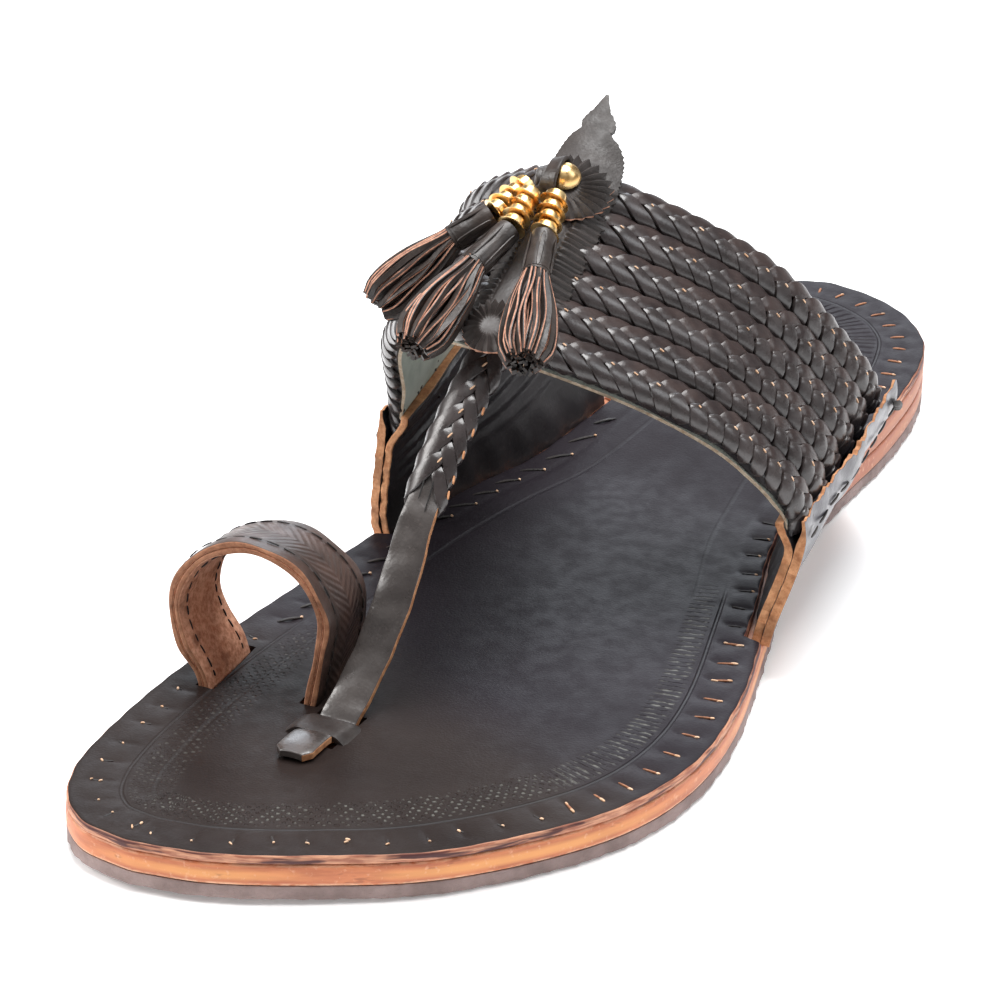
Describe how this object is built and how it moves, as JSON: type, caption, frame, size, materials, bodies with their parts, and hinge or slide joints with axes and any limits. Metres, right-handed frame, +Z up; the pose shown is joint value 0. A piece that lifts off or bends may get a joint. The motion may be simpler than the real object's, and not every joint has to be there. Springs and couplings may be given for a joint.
{
  "type": "kolhapuri sandal",
  "caption": "Left leather sandal with a plaited vamp, a toe loop, a toe strap, a centre plate with a domed button, and leather tassels on a flat stacked sole.",
  "frame": {"origin": "on the floor under the middle of the sandal's outline", "axes": "+Z up, toe to -Y, medial (big toe) side to -X, lateral side to +X"},
  "size_m": [0.0985, 0.28, 0.0922],
  "materials": {
    "outsole": "matt grey-brown rubber with a rough cut edge",
    "sole_side": "satin tan leather edge",
    "insole": "satin dark brown, fine grain",
    "upper_plait": "glossy charcoal brown plaited thong",
    "flap": "satin dark leather with a tan cut edge",
    "toe_strap": "glossy dark thong, plaited then flat",
    "toe_loop": "satin reddish dark brown, tooled",
    "toe_loop_lining": "matt tan brown flesh side",
    "plate": "satin dark brown with cut fringes",
    "tassel": "satin dark brown with tan cut edges",
    "brass": "bright gold-coloured metal"
  },
  "bodies": {
    "root": {"outsole": "outsole", "heel_lift": "sole_side", "midsole": "sole_side", "insole": "insole", "upper": "upper_plait", "flap_lateral_outer": "flap", "flap_lateral_inner": "flap", "flap_medial_outer": "flap", "flap_medial_inner": "flap", "toe_strap": "toe_strap", "toe_loop_outer": "toe_loop", "toe_loop_lining": "toe_loop_lining", "centre_plate": "plate", "rosette_upper": "plate", "rosette_lower": "plate", "button": "brass", "tassel_medial_coil": "brass", "tassel_medial_neck": "tassel", "tassel_medial_fringe": "tassel", "tassel_middle_coil": "brass", "tassel_middle_neck": "tassel", "tassel_middle_fringe": "tassel", "tassel_lateral_coil": "brass", "tassel_lateral_neck": "tassel", "tassel_lateral_fringe": "tassel"}
  },
  "joints": []
}
